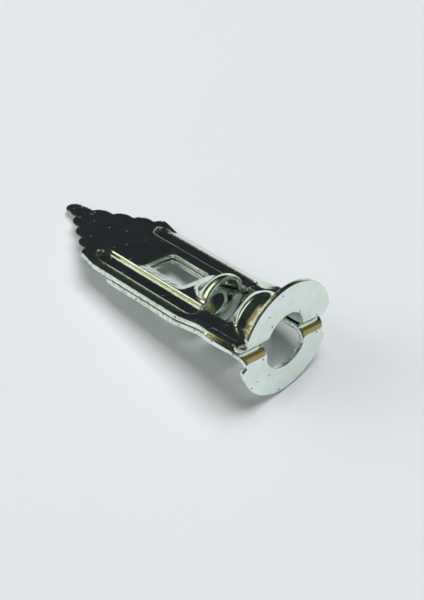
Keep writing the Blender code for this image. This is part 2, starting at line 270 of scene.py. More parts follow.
def lower_surface(x, y):
    rise, narrow = ramp_down(x, LOWER_HOOD_X)
    rise = rise * smooth((LOWER_SADDLE_FRONT_X + LOWER_SADDLE_START - x) / LOWER_SADDLE_START)
    share = smooth((LOWER_SADDLE_X - x) / (LOWER_SADDLE_X - LOWER_HOOD_X))
    radius = LOWER_SADDLE_OUTSIDE + (HOOD_OUTSIDE - LOWER_SADDLE_OUTSIDE) * share
    return channel(y, radius, rise, narrow)


def pressed(x, y):
    """How far the sheet is pressed down: the grooves, the drooping band outside each, the window's sides."""
    end_x = np.clip(x, GROOVE_REAR_X + GROOVE_HALF, GROOVE_FRONT_X - GROOVE_HALF)
    depth = GROOVE_HALF - np.hypot(x - end_x, np.abs(y) - GROOVE_CENTRE)
    round_end = np.clip(np.abs(x - end_x) / GROOVE_HALF, 0.0, 1.0)
    lip_width = GROOVE_LIP * (1.0 - GROOVE_END_PINCH * round_end)
    lip = np.clip(depth / lip_width, 0.0, 1.0) ** GROOVE_ROUNDING
    sunk = np.where(np.abs(y) > GROOVE_CENTRE, smooth(depth / GROOVE_STEP), lip)
    toward_tip = smooth((RIM_END_X - x) / RIM_FRONT)
    bottom = GROOVE_FRONT_DEPTH + (GROOVE_DEPTH - GROOVE_FRONT_DEPTH) * toward_tip
    beside = toward_tip * smooth((x - POINT_BASE_X) / RIM_REAR)
    outside = np.clip(np.abs(y) - GROOVE_OUTER, 0.0, 1.0) * RIM_LEAN
    rim = beside * (RIM_DROP * smooth((np.abs(y) - GROOVE_CENTRE) / GROOVE_HALF) + outside)
    bead = RIM_BEAD * (0.6 + 0.4 * np.sin(9.0 * x) * np.sin(2.3 * x + 1.0))
    rim -= bead * np.exp(-(depth / RIM_BEAD_WIDTH) ** 2) * (np.abs(y) > GROOVE_CENTRE)
    beside_window = smooth(WINDOW_FRONT_X + WINDOW_SAG_END - x) * smooth(x - WINDOW_REAR_X + WINDOW_SAG_END)
    sag = np.clip(GROOVE_INNER - np.abs(y), 0.0, WINDOW_SAG_WIDTH) * WINDOW_LEAN * beside_window
    return rim * (1.0 - sunk) + bottom * sunk + sag


def waviness(points, seed):
    """Slight unevenness of the stamped sheet, the same on both of its surfaces."""
    shift = Vector((seed * 7.3, seed * 3.1, seed * 5.7))
    total = np.zeros(len(points))
    for height, waves in (BROAD_WAVE, CLOSE_WAVE):
        total += height * np.array([noise.noise(Vector(p) * waves + shift) for p in points])
    return total


def formed(surface, x, y, thickness):
    """Outer and inner points of a half's sheet for flat pattern points, before any pressing of grooves."""
    step = 0.01
    place = [np.column_stack([x + dx, *surface(x + dx, y + dy)])
             for dx, dy in ((0, 0), (step, 0), (-step, 0), (0, step), (0, -step))]
    normal = np.cross(place[1] - place[2], place[3] - place[4])
    normal /= np.linalg.norm(normal, axis=1)[:, None]
    return place[0], place[0] - normal * thickness[:, None]


# A sheet with rounded edges.

class Sheet:
    """Paired outer and inner points of a sheet, and the faces that both surfaces share."""

    def __init__(self, side, seed):
        self.side = side
        self.seed = seed
        self.index = {}
        self.outer = []
        self.inner = []
        self.lowered = []
        self.faces = []

    def vertex(self, outer, inner, lowered=0.0):
        """Number of a pair of points; lowered is how far pressing moves it towards -Z."""
        key = tuple(round(float(c), 3) for c in outer)
        if key not in self.index:
            self.index[key] = len(self.outer)
            self.outer.append(Vector(outer))
            self.inner.append(Vector(inner))
            self.lowered.append(float(lowered))
        return self.index[key]

    def face(self, corners):
        corners = list(dict.fromkeys(corners))
        if len(corners) > 2:
            self.faces.append(corners)

    def grid(self, rows, keep=lambda row, column: True):
        ids = [[self.vertex(*pair) for pair in row] for row in rows]
        for i in range(len(rows) - 1):
            for j in range(len(rows[0]) - 1):
                if keep(i, j):
                    self.face([ids[i][j], ids[i + 1][j], ids[i + 1][j + 1], ids[i][j + 1]])

    def rings(self):
        """Rounded wall round every open edge: rows of vertex places for each edge vertex, and the faces."""
        used = {(a, b) for f in self.faces for a, b in zip(f, f[1:] + f[:1])}
        open_edges = [(a, b) for a, b in used if (b, a) not in used]
        following = dict(open_edges)
        before = {b: a for a, b in open_edges}
        profiles = {}
        for i in following:
            middle = [(self.outer[k] + self.inner[k]) / 2 for k in (before[i], i, following[i])]
            up = (self.outer[i] - self.inner[i]).normalized()
            sides = [(b - a).cross(up).normalized() for a, b in zip(middle, middle[1:])]
            out = (sides[0] + sides[1]) / max(0.5, 1.0 + sides[0].dot(sides[1]))
            profiles[i] = self.profile(i, out, up)
        return open_edges, profiles

    def profile(self, i, out, up):
        turns = [math.pi / 2 * k / EDGE_STEPS for k in range(1, EDGE_STEPS + 1)]
        top = [self.outer[i] + out * EDGE * math.sin(a) - up * EDGE * (1 - math.cos(a)) for a in turns]
        low = [self.inner[i] + out * EDGE * math.sin(a) + up * EDGE * (1 - math.cos(a)) for a in turns]
        return top + low[::-1]

    def build(self, name):
        count = len(self.outer)
        wave = waviness(self.outer, self.seed)
        normals = [(o - i).normalized() for o, i in zip(self.outer, self.inner)]
        places = self.outer + self.inner
        owners = list(range(count)) * 2
        faces = [f for f in self.faces] + [[i + count for i in reversed(f)] for f in self.faces]
        open_edges, profiles = self.rings()
        chain = {}
        for i, profile in profiles.items():
            first = len(places)
            places += profile
            owners += [i] * len(profile)
            chain[i] = [i] + list(range(first, first + len(profile))) + [i + count]
        for a, b in open_edges:
            for k in range(len(chain[a]) - 1):
                faces.append([chain[b][k], chain[a][k], chain[a][k + 1], chain[b][k + 1]])
        final = []
        for place, owner in zip(places, owners):
            moved = place + normals[owner] * float(wave[owner])
            final.append(Vector((moved.x, moved.y, self.side * moved.z - self.lowered[owner])))
        if self.side < 0:
            faces = [f[::-1] for f in faces]
        cut = [0.0] * (2 * count) + [1.0] * (len(places) - 2 * count)
        return add_mesh(name, final, faces, cut)


def add_mesh(name, points, faces, cut):
    """Mesh object in the row frame, with its own axes' coordinates kept for the materials."""
    mesh = bpy.data.meshes.new(name)
    mesh.from_pydata([AXES @ (p * MM) for p in points], [], faces)
    mesh.validate()
    mesh.shade_smooth()
    mesh.set_sharp_from_angle(angle=math.radians(50))
    place = mesh.attributes.new("place_mm", "FLOAT_VECTOR", "POINT")
    place.data.foreach_set("vector", np.array(points, dtype=np.float32).ravel())
    shear = mesh.attributes.new("cut_edge", "FLOAT", "POINT")
    shear.data.foreach_set("value", np.array(cut, dtype=np.float32))
    item = bpy.data.objects.new(name, mesh)
    bpy.context.scene.collection.objects.link(item)
    weighted = item.modifiers.new("even_normals", "WEIGHTED_NORMAL")
    weighted.keep_sharp = True
    return item


# Flat patterns.

def inside(points, loop):
    """Which points lie inside a closed loop."""
    points = np.asarray(points, float)
    result = np.zeros(len(points), bool)
    for (x1, y1), (x2, y2) in zip(loop, loop[1:] + loop[:1]):
        crosses = (y1 > points[:, 1]) != (y2 > points[:, 1])
        if y1 != y2:
            result ^= crosses & (points[:, 0] < (x2 - x1) * (points[:, 1] - y1) / (y2 - y1) + x1)
    return result


def distance_to(points, loop):
    """Each point's distance to the nearest stretch of a loop."""
    points = np.asarray(points, float)
    nearest = np.full(len(points), np.inf)
    for a, b in zip(loop, loop[1:] + loop[:1]):
        a, b = np.array(a), np.array(b)
        share = np.clip((points - a) @ (b - a) / max((b - a) @ (b - a), 1e-12), 0.0, 1.0)
        nearest = np.minimum(nearest, np.linalg.norm(points - a - share[:, None] * (b - a), axis=1))
    return nearest


def along(points, step):
    """The same loop with points no further apart than the step."""
    result = []
    for a, b in zip(points, points[1:] + points[:1]):
        count = max(1, math.ceil(math.dist(a, b) / step))
        result += [(a[0] + (b[0] - a[0]) * i / count, a[1] + (b[1] - a[1]) * i / count)
                   for i in range(count)]
    return result


def staggered(x_low, x_high, y_low, y_high, step):
    """Points in rows, each row shifted by half a step, so that their triangles are nearly equal-sided."""
    rows = max(1, round((y_high - y_low) / (step * 0.87)))
    columns = max(1, round((x_high - x_low) / step))
    width = (x_high - x_low) / columns
    return [(x_low + width * (i + 0.5 * (j % 2)), y) for j, y in enumerate(spaced(y_low, y_high, rows))
            for i in range(columns)]


def triangles(outline, holes, seeds, spacing):
    """Points and triangles of the outline less its holes; the first points are the loops' own."""
    points, edges = [], []
    for loop in [outline] + holes:
        first = len(points)
        points += loop
        edges += [(first + i, first + (i + 1) % len(loop)) for i in range(len(loop))]
    keep = inside(seeds, outline) & (distance_to(seeds, outline) > spacing / 2)
    for hole in holes:
        keep &= ~inside(seeds, hole) & (distance_to(seeds, hole) > spacing / 2)
    points += [s for s, wanted in zip(seeds, keep) if wanted]
    verts, _, faces = delaunay_2d_cdt([Vector(p) for p in points], edges, [], 0, 1e-6)[:3]
    flat = np.array([(v.x, v.y) for v in verts])
    centres = np.array([flat[list(f)].mean(axis=0) for f in faces])
    kept = inside(centres, outline)
    for hole in holes:
        kept &= ~inside(centres, hole)
    return flat, [list(f) for f, wanted in zip(faces, kept) if wanted]


def inset(loop, amount, kept=lambda point: False):
    """A counter-clockwise loop drawn in by the amount, except for the points that are kept."""
    result = []
    for before, here, after in zip(loop[-1:] + loop[:-1], loop, loop[1:] + loop[:1]):
        if kept(here):
            result.append(here)
            continue
        a = (Vector(here) - Vector(before)).normalized()
        b = (Vector(after) - Vector(here)).normalized()
        sides = Vector((-a.y, a.x)), Vector((-b.y, b.x))
        move = (sides[0] + sides[1]) / max(0.5, 1.0 + sides[0].dot(sides[1])) * amount
        result.append((here[0] + move.x, here[1] + move.y))
    return result


def tooth_edge():
    """Scalloped edge from the widest place of the leaf to its blunt tip."""
    start = Vector((POINT_BASE_X, HALF_WIDTH))
    end = Vector((-LENGTH + TIP_RADIUS, POINT_TIP_HALF))
    way = (end - start).normalized()
    inward = Vector((-way.y, way.x))
    pitch = (end - start).length / TEETH
    points = []
    for tooth in range(TEETH):
        for part in range(TOOTH_STEPS):
            travel = part / TOOTH_STEPS
            depth = TOOTH_DEPTH * (1.0 - abs(math.cos(math.pi * travel)) ** 0.8) if travel else 0.0
            point = start + way * pitch * (tooth + travel) + inward * depth
            points.append((point.x, point.y))
    return points + [(end.x, end.y)]


def blunt_tip(end_x, radius):
    """Arc round a point's tip, from its far side to its near side."""
    return [(end_x + radius - radius * math.cos(a), radius * math.sin(a))
            for a in (math.radians(d) for d in range(60, -61, -15))]


def mirrored(points):
    return [(x, -y) for x, y in reversed(points)]


def strip_columns(start, end):
    return spaced(start, end, STRIP_STEPS)


def fold_side(x_from, x_to):
    """Near edge from the leaf's full width to the narrower stretch beside the fold."""
    return [(x_from, -HALF_WIDTH), (NECK_END_X - 0.05, -HALF_WIDTH), (NECK_END_X, FOLD_Y + FOLD_GAP),
            (x_to, FOLD_Y + FOLD_GAP)]


def saddle_foot(radius):
    """Where a channel of this outer radius meets the flat strip."""
    return math.sqrt((radius + FILLET) ** 2 - (LEVEL + FILLET) ** 2)


def joined_edge(inner_half):
    """Points of the two strips where a leaf's pattern meets the rows of the head."""
    near = strip_columns(FOLD_Y + FOLD_GAP + EDGE, -inner_half)
    far = strip_columns(inner_half, HALF_WIDTH - EDGE)
    return [(SADDLE_END_X, y) for y in near], [(SADDLE_END_X, y) for y in far]


def upper_outline():
    """Counter-clockwise pattern of the upper leaf, with the opening between saddle and hood."""
    near, far = joined_edge(saddle_foot(saddle_outside(SADDLE_END_X)))
    level = OPENING_HALF - OPENING_CORNER
    side = [(SADDLE_END_X - 0.3, OPENING_HALF), (HOOD_MOUTH_X + OPENING_CORNER, OPENING_HALF),
            (HOOD_MOUTH_X + 0.07, OPENING_HALF - 0.07)]
    mouth = [(HOOD_MOUTH_X, y) for y in spaced(level, -level, OPENING_STEPS)]
    opening = side + mouth + mirrored(side)
    rear = tooth_edge() + blunt_tip(-LENGTH, TIP_RADIUS) + mirrored(tooth_edge())
    return far + rear + fold_side(POINT_BASE_X + 0.3, SADDLE_END_X - 0.05) + near + opening[::-1]


def lower_outline():
    """Counter-clockwise pattern of the lower leaf, whose neck is slotted up to its saddle."""
    near, far = joined_edge(NECK_SLOT_HALF)
    level = OPENING_HALF - 0.2
    side = [(SADDLE_END_X - 0.2, NECK_SLOT_HALF), (LOWER_SADDLE_FRONT_X + 0.1, OPENING_HALF),
            (LOWER_SADDLE_FRONT_X + 0.02, OPENING_HALF - 0.06)]
    front = [(LOWER_SADDLE_FRONT_X, y) for y in spaced(level, -level, OPENING_STEPS)]
    opening = side + front + mirrored(side)
    rear = [(LOWER_BASE_X, HALF_WIDTH)] + blunt_tip(LOWER_POINT_X, LOWER_TIP_RADIUS)
    rear += [(LOWER_BASE_X, -HALF_WIDTH)]
    return far + rear + fold_side(LOWER_BASE_X + 0.3, SADDLE_END_X - 0.05) + near + opening[::-1]


def rounded_box(x_low, x_high, half, corner):
    """Clockwise hole with rounded corners."""
    points = []
    for x, y, start in ((x_low + corner, -half + corner, 270), (x_low + corner, half - corner, 180),
                        (x_high - corner, half - corner, 90), (x_high - corner, -half + corner, 0)):
        for step in range(5):
            angle = math.radians(start - step * 22.5)
            points.append((x + corner * math.cos(angle), y + corner * math.sin(angle)))
    return points


def leaf_seeds():
    """Inner points for a leaf's triangles: close together where the sheet is formed, wider elsewhere."""
    seeds = staggered(-LENGTH + 0.2, SADDLE_END_X - 0.1, -HALF_WIDTH, HALF_WIDTH, COARSE)
    rear, front, low, high = (GROOVE_REAR_X - ZONE_MARGIN, GROOVE_FRONT_X + ZONE_MARGIN,
                              GROOVE_INNER - ZONE_MARGIN, GROOVE_OUTER + ZONE_MARGIN)
    formed_zones = [(rear, front, low, high), (rear, front, -high, -low),
                    (WINDOW_FRONT_X + 0.2, LOWER_SADDLE_FRONT_X, -OPENING_HALF, OPENING_HALF)]
    coarse = np.array(seeds)
    keep = np.ones(len(seeds), bool)
    fine = []
    for x_low, x_high, y_low, y_high in formed_zones:
        keep &= ~((coarse[:, 0] > x_low) & (coarse[:, 0] < x_high)
                  & (coarse[:, 1] > y_low) & (coarse[:, 1] < y_high))
        fine += staggered(x_low, x_high, y_low, y_high, FINE)
    return [s for s, wanted in zip(seeds, keep) if wanted] + fine + wall_seeds()


def wall_seeds():
    """Close rows of points down the walls of the grooves, where the sheet turns most."""
    seeds = []
    for share in spaced(0.0, 1.0, WALL_ROWS):
        turned = GROOVE_HALF - GROOVE_LIP * share
        stepped = GROOVE_HALF + RIM_BEAD_WIDTH - (GROOVE_STEP + RIM_BEAD_WIDTH) * share
        for x in spaced(GROOVE_REAR_X + GROOVE_HALF, GROOVE_FRONT_X - GROOVE_HALF, WALL_STEPS):
            seeds += [(x, GROOVE_CENTRE - turned), (x, GROOVE_CENTRE + stepped)]
        for centre_x, facing in ((GROOVE_REAR_X + GROOVE_HALF, -1), (GROOVE_FRONT_X - GROOVE_HALF, 1)):
            for angle in spaced(-math.pi / 2, math.pi / 2, WALL_END_STEPS):
                pinched = GROOVE_HALF - (GROOVE_HALF - turned) * (1.0 - GROOVE_END_PINCH * math.cos(angle))
                radius = stepped if angle > 0 else pinched
                seeds.append((centre_x + facing * radius * math.cos(angle),
                              GROOVE_CENTRE + radius * math.sin(angle)))
    return seeds + [(x, -y) for x, y in seeds]


def add_leaf(sheet, surface, outline, holes, point_base):
    """A leaf's sheet: its edge at the neck keeps the neck's points, and its point is thinned at the edge."""
    loops = [inset(loop, EDGE, lambda point: point[0] > SADDLE_END_X - 1e-6) for loop in [outline] + holes]
    loops = [along(loop, LOOP_SPACING) for loop in loops]
    flat, faces = triangles(loops[0], loops[1:], leaf_seeds(), FINE)
    border = 1.0 - smooth(distance_to(flat, loops[0]) / COINED)
    thinned = border * smooth((point_base + COINED_START - flat[:, 0]) / COINED_FADE)
    thickness = SHEET - (SHEET - COINED_SHEET) * thinned
    outer, inner = formed(surface, flat[:, 0], flat[:, 1], thickness)
    lowered = pressed(flat[:, 0], flat[:, 1])
    ids = [sheet.vertex(o, i, d) for o, i, d in zip(outer, inner, lowered)]
    for face in faces:
        sheet.face([ids[i] for i in face])


# Head: neck, bend and flange.

def bend_row(turn):
    """Places of both surfaces at an angle of the bend: (x, level, passage x, passage radius, fillet)."""
    inner = (-BEND_RADIUS + BEND_RADIUS * math.sin(turn),
             HALF_GAP + BEND_RADIUS * (1 - math.cos(turn)),
             MOUTH_FLARE * (math.sin(turn) - 1),
             SADDLE_OUTSIDE - SHEET + MOUTH_FLARE * (1 - math.cos(turn)),
             SHEET + FILLET + (MOUTH_FILLET - SHEET - FILLET) * math.sin(turn) ** 2)
    outer = (-BEND_RADIUS + BEND_BACK * math.sin(turn),
             LEVEL + BEND_BACK * (1 - math.cos(turn)),
             -SHEET - MOUTH_BACK_FLARE + MOUTH_BACK_FLARE * math.sin(turn),
             SADDLE_OUTSIDE + MOUTH_BACK_FLARE * (1 - math.cos(turn)),
             FILLET)
    return outer, inner


def passage_section(station, near, far):
    """Points across the upper half: strip, fillet, arc, fillet, strip."""
    x, level, arc_x, radius, fillet = station
    centre = level + fillet
    foot = math.sqrt((radius + fillet) ** 2 - centre ** 2)
    turn = math.pi / 2 - math.atan2(centre, foot)
    half = [(x, y, level) for y in spaced(far, foot, STRIP_STEPS)]
    for k in range(1, FILLET_STEPS + 1):
        angle = -math.pi / 2 - turn * k / FILLET_STEPS
        share = float(smooth(k / FILLET_STEPS))
        half.append((x + (arc_x - x) * share, foot + fillet * math.cos(angle),
                     centre + fillet * math.sin(angle)))
    leans = [turn * k / (ARC_STEPS / 2) for k in range(ARC_STEPS // 2 - 1, -1, -1)]
    half += [(arc_x, radius * math.sin(lean), radius * math.cos(lean)) for lean in leans]
    other = [(px, -py, pz) for px, py, pz in half[STRIP_STEPS:-1]]
    start = [(x, -y, level) for y in spaced(near, foot, STRIP_STEPS)][:-1]
    return start + other + half[::-1]


def slotted_section(station, near, far, inner_half=NECK_SLOT_HALF):
    """Points across the lower half: strip, open slot, strip."""
    x, level = station[:2]
    return ([(x, -y, level) for y in spaced(near, inner_half, STRIP_STEPS)]
            + [(x, y, level) for y in spaced(inner_half, far, STRIP_STEPS)])


def foot_half():
    """Half width of the flange where the bend ends, before its rounded corner."""
    radius = HEAD_RADIUS - EDGE - FLANGE_CORNER
    return math.sqrt(radius ** 2 - (HALF_GAP + BEND_RADIUS + FLANGE_CORNER) ** 2)


def paired(section, outer, inner, near, far):
    """One row of point pairs, from a section at the outer station and at the inner one."""
    return list(zip(section(outer, near, far), section(inner, near, far)))


def neck_rows(section):
    """Rows of point pairs from the saddle's rear end over the neck and round the bend to the flange."""
    narrow, wide = -FOLD_Y - FOLD_GAP - EDGE, HALF_WIDTH - EDGE
    rows = []
    shoulder = FOLD_FRONT_X + SHOULDER_STEP
    stops = [(x, narrow) for x in spaced(SADDLE_END_X, shoulder, NECK_STEPS)] + [(shoulder + 0.02, wide)]
    for x, near in stops:
        share = (x - SADDLE_END_X) / (-BEND_RADIUS - SADDLE_END_X)
        stations = []
        for _, level, arc_x, radius, fillet in bend_row(0.0):
            station_x = SADDLE_END_X + (arc_x - SADDLE_END_X) * share
            radius += saddle_outside(station_x) - SADDLE_OUTSIDE
            stations.append((x, level, station_x, radius, fillet))
        rows.append(paired(section, stations[0], stations[1], near, wide))
    for step in range(BEND_STEPS + 1):
        turn = math.pi / 2 * step / BEND_STEPS
        half = wide + (foot_half() - wide) * float(smooth(step / BEND_STEPS))
        rows.append(paired(section, *bend_row(turn), half, half))
    return rows


def rim_points(start_height):
    """Rounded corner, round rim and the other corner, from one end of a foot line to the other."""
    radius, corner = HEAD_RADIUS - EDGE, FLANGE_CORNER
    centre = foot_half(), HALF_GAP + BEND_RADIUS + corner
    first = -math.asin((centre[1] - start_height) / corner)
    last = math.atan2(centre[1], centre[0])
    turns = spaced(first, last, 6)[1:]
    half = [(centre[0] + corner * math.cos(a), centre[1] + corner * math.sin(a)) for a in turns]
    half += [(radius * math.cos(a), radius * math.sin(a)) for a in spaced(last, math.pi / 2, 44)[1:]]
    return half + [(-y, z) for y, z in half[-2::-1]]


def rim_start(height):
    """Half width of the flange at a height on its rounded corner."""
    drop = HALF_GAP + BEND_RADIUS + FLANGE_CORNER - height
    return foot_half() + math.sqrt(FLANGE_CORNER ** 2 - drop ** 2)


def flange_pair(y, z):
    """A point of the flat flange on its back and on its face."""
    return (-SHEET, y, z), (0.0, y, z)


def notched(foot_line):
    """The lower flange's foot line, with the punched notch between its two strips."""
    middle = len(foot_line) // 2
    radius = NOTCH_RADIUS + EDGE
    start = math.atan2(foot_line[middle][1] + NOTCH_CENTRE, foot_line[middle][0])
    notch = [(-radius * math.cos(a), -NOTCH_CENTRE + radius * math.sin(a))
             for a in spaced(start, math.pi - start, NOTCH_STEPS)][1:-1]
    return foot_line[:middle] + notch + foot_line[middle:]


def add_flange(sheet, foot_row, shaped=lambda foot_line: foot_line):
    """Flat half disc beyond the foot row: both of its surfaces have the same outline."""
    foot_line = [(o[1], o[2]) for o, i in foot_row]
    outline = shaped(foot_line) + rim_points(foot_line[-1][1])
    seeds = staggered(-HEAD_RADIUS, HEAD_RADIUS, 0.0, HEAD_RADIUS, COARSE)
    flat, faces = triangles(outline, [], seeds, COARSE)
    ids = [sheet.vertex(*flange_pair(y, z)) for y, z in flat]
    for face in faces:
        sheet.face([ids[i] for i in face[::-1]])


def upper_foot_row():
    """Pairs where the upper half's bend has become flat, at the edge of its flange."""
    half = rim_start(FOOT_HEIGHT)
    section = passage_section((0.0, FOOT_HEIGHT, 0.0, FOOT_RADIUS, FILLET), half, half)
    return [flange_pair(y, z) for _, y, z in section]


def lower_foot_row():
    """The same for the lower half, whose notch cuts this row in two."""
    reach = math.sqrt((NOTCH_RADIUS + EDGE) ** 2 - (FOOT_HEIGHT + NOTCH_CENTRE) ** 2)
    half = rim_start(FOOT_HEIGHT)
    section = slotted_section((0.0, FOOT_HEIGHT), half, half, reach)
    return [flange_pair(y, z) for _, y, z in section]


def leaf_window():
    """The rectangular window, which is the same in both leaves."""
    return rounded_box(WINDOW_REAR_X, WINDOW_FRONT_X, WINDOW_HALF, WINDOW_CORNER)


def upper_half():
    """Upper flange, neck and serrated leaf, as one sheet."""
    sheet = Sheet(side=1, seed=1)
    rows = neck_rows(passage_section) + [upper_foot_row()]
    sheet.grid(rows)
    add_flange(sheet, rows[-1])
    add_leaf(sheet, upper_surface, upper_outline(), [leaf_window()], POINT_BASE_X)
    return sheet.build("upper_half")


def lower_half():
    """Lower flange, slotted neck and shorter leaf, as one sheet."""
    sheet = Sheet(side=-1, seed=2)
    rows = neck_rows(slotted_section) + [lower_foot_row()]
    sheet.grid(rows, keep=lambda row, column: column != STRIP_STEPS)
    add_flange(sheet, rows[-1], notched)
    slit = rounded_box(LOWER_HOOD_X, LOWER_SADDLE_X, OPENING_HALF - 0.1, SLIT_CORNER)
    add_leaf(sheet, lower_surface, lower_outline(), [leaf_window(), slit], LOWER_BASE_X)
    return sheet.build("lower_half")


def side_fold():
    """The hem on the near side, from the top strip round to the bottom one."""
    sheet = Sheet(side=1, seed=3)
    turns = spaced(math.pi / 2, 1.5 * math.pi, FOLD_TURN_STEPS)
    section = [(FOLD_Y + FOLD_TOP, 0.0, 1.0)] + [(FOLD_Y, math.cos(a), math.sin(a)) for a in turns]
    section.append((FOLD_Y + CREASE, 0.0, -1.0))
    rows = []
    for number, (y, across, up) in enumerate(section):
        thick, thin = LEVEL, HALF_GAP
        if number == 0:
            thin = LEVEL - FOLD_LIP
        if number == len(section) - 1:
            thick, thin = LEVEL - FOLD_TUCK, HALF_GAP - FOLD_TUCK
        top = max(up, 0.0)
        raised = FOLD_RAISE * top
        rear, front = NECK_END_X + EDGE, FOLD_FRONT_X - EDGE - FOLD_SLANT * top
        row = []
        for share in spaced(0.0, 1.0, FOLD_LENGTH_STEPS):
            x = rear + (front - rear) * share
            pinch = FOLD_PINCH * share ** 2
            row.append(((x, y + pinch + across * (thick - pinch), up * (thick - pinch / 2) + raised),
                        (x, y + pinch + across * thin, up * thin)))
        rows.append(row)
    sheet.grid(rows)
    return sheet.build("folded_edge")


# Materials.

class Nodes:
    """Short names for making a node tree.  A value is a number, a colour or another node's output."""

    def __init__(self, tree):
        self.tree = tree

    def add(self, kind, settings=None, **inputs):
        node = self.tree.nodes.new(kind)
        for name, value in (settings or {}).items():
            setattr(node, name, value)
        for name, value in inputs.items():
            self.put(node, name.replace("_", " "), value)
        return node

    def put(self, node, name, value):
        socket = node.inputs[int(name)] if name.isdigit() else node.inputs[name]
        if isinstance(value, bpy.types.NodeSocket):
            self.tree.links.new(value, socket)
        else:
            socket.default_value = value

    def math(self, operation, a, b=0.0):
        node = self.add("ShaderNodeMath", {"operation": operation})
        self.put(node, "0", a)
        self.put(node, "1", b)
        return node.outputs[0]

    def ramp(self, factor, stops):
        """Value or colour that changes with the factor; stops are (place, colour or grey)."""
        node = self.add("ShaderNodeValToRGB", Fac=factor)
        elements = node.color_ramp.elements
        while len(elements) < len(stops):
            elements.new(0.5)
        for element, (place, tone) in zip(elements, stops):
            element.position = place
            element.color = (*tone, 1.0) if isinstance(tone, tuple) else (tone, tone, tone, 1.0)
        return node.outputs["Color"]

    def mix(self, factor, a, b):
        node = self.add("ShaderNodeMix", {"data_type": "RGBA"})
        for socket, value in zip((node.inputs[0], node.inputs[6], node.inputs[7]), (factor, a, b)):
            if isinstance(value, bpy.types.NodeSocket):
                self.tree.links.new(value, socket)
            else:
                socket.default_value = value if not isinstance(value, tuple) else (*value, 1.0)
        return node.outputs[2]

    def noise(self, place, scale, detail=3.0, roughness=0.55):
        return self.add("ShaderNodeTexNoise", Vector=place, Scale=scale, Detail=detail,
                        Roughness=roughness).outputs["Fac"]

    def stretched(self, place, x, y, z):
        return self.add("ShaderNodeMapping", Vector=place, Scale=(x, y, z)).outputs["Vector"]

    def bump(self, height, distance, strength, normal=None):
        node = self.add("ShaderNodeBump", Height=height, Distance=distance, Strength=strength)
        if normal is not None:
            self.put(node, "Normal", normal)
        return node.outputs["Normal"]


def zinc_plate(name, plate, green, straw, dullness, pitting):
    """Bright zinc plate on rolled steel: faint green and straw clouds, dull specks, pits and rub marks; dark
    streaks on cut edges, and painted shade on the cut edges of the point.
    """
    material = bpy.data.materials.new(name)
    material.use_nodes = True
    n = Nodes(material.node_tree)
    shader = material.node_tree.nodes["Principled BSDF"]
    place = n.add("ShaderNodeAttribute", {"attribute_name": "place_mm"}).outputs["Vector"]
    cut = n.add("ShaderNodeAttribute", {"attribute_name": "cut_edge"}).outputs["Fac"]
    clouds = n.noise(place, 0.55, 4.0)
    film = n.noise(n.stretched(place, 0.5, 1.0, 1.0), 1.4, 3.0)
    colour = n.mix(n.ramp(clouds, [(0.35, 0.0), (0.7, 1.0)]), plate, green)
    colour = n.mix(n.ramp(film, [(0.52, 0.0), (0.75, 0.7)]), colour, straw)
    specks = n.ramp(n.noise(place, 4.5, 2.0, 0.7), [(0.71, 0.0), (0.77, 1.0)])
    spots = n.add("ShaderNodeTexVoronoi", Vector=place, Scale=pitting).outputs["Distance"]
    pits = n.ramp(spots, [(0.07, 1.0), (0.13, 0.0)])
    colour = n.mix(pits, colour, (0.10, 0.11, 0.10))
    # Painted shade: the point's cut edges are painted dark, a painted reflection of the shaded table beside them.
    # Elsewhere random streaks darken the cut edges.
    painted_shade_at_point = n.math("LESS_THAN", n.add("ShaderNodeSeparateXYZ", Vector=place).outputs["X"], POINT_BASE_X)
    patches = n.ramp(n.noise(place, 3.2, 3.0), [(0.48, 0.0), (0.68, 0.6)])
    edge_streaks_and_painted_shade = n.math("MULTIPLY", cut, n.math("MAXIMUM", painted_shade_at_point, patches))
    colour = n.mix(edge_streaks_and_painted_shade, colour, (0.15, 0.18, 0.12))
    n.put(shader, "Base Color", colour)
    shader.inputs["Metallic"].default_value = 1.0
    rough = n.math("ADD", n.math("MULTIPLY", n.noise(place, 2.6, 4.0), 0.08), dullness)
    rough = n.math("ADD", rough, n.math("MULTIPLY", specks, 0.16))
    rough = n.math("ADD", rough, n.math("MULTIPLY", cut, 0.10))
    rough = n.math("ADD", rough, n.math("MULTIPLY", pits, 0.3))
    n.put(shader, "Roughness", rough)
    peel = n.bump(n.noise(place, 1.9, 2.0), 0.000025, 0.5)
    rub = n.bump(n.noise(n.stretched(place, 1.5, 22.0, 22.0), 1.0, 2.0), 0.0000022, 0.45, peel)
    tear = n.bump(n.math("MULTIPLY", cut, n.noise(n.stretched(place, 9.0, 9.0, 1.2), 1.0, 3.0)),
                  0.00002, 0.6, rub)
    n.put(shader, "Normal", n.bump(n.math("MULTIPLY", pits, -1.0), 0.000015, 0.8, tear))
    return material


def pale_board():
    """Matt, slightly uneven near-white."""
    material = bpy.data.materials.new("pale_board")
    material.use_nodes = True
    n = Nodes(material.node_tree)
    shader = material.node_tree.nodes["Principled BSDF"]
    place = n.add("ShaderNodeTexCoord").outputs["Object"]
    n.put(shader, "Base Color", n.mix(n.noise(place, 30.0), (0.80, 0.825, 0.84), (0.83, 0.85, 0.862)))
    shader.inputs["Roughness"].default_value = 0.55
    shader.inputs["Specular IOR Level"].default_value = 0.1
    return material


# Surroundings.

def floor():
    """Plain pale board, a metre across."""
    half, cells = 0.5, 20
    mesh = bpy.data.meshes.new("board")
    steps = spaced(-half, half, cells)
    points = [(x, y, 0.0) for y in steps for x in steps]
    width = cells + 1
    faces = [(j * width + i, j * width + i + 1, (j + 1) * width + i + 1, (j + 1) * width + i)
             for j in range(cells) for i in range(cells)]
    mesh.from_pydata(points, [], faces)
    mesh.materials.append(pale_board())
    item = bpy.data.objects.new("board", mesh)
    bpy.context.scene.collection.objects.link(item)


def direction(azimuth, elevation):
    a, e = math.radians(azimuth), math.radians(elevation)
    return Vector((math.sin(a) * math.cos(e), -math.cos(a) * math.cos(e), math.sin(e)))


WINDOW_WAY = direction(-65.0, 32.5)


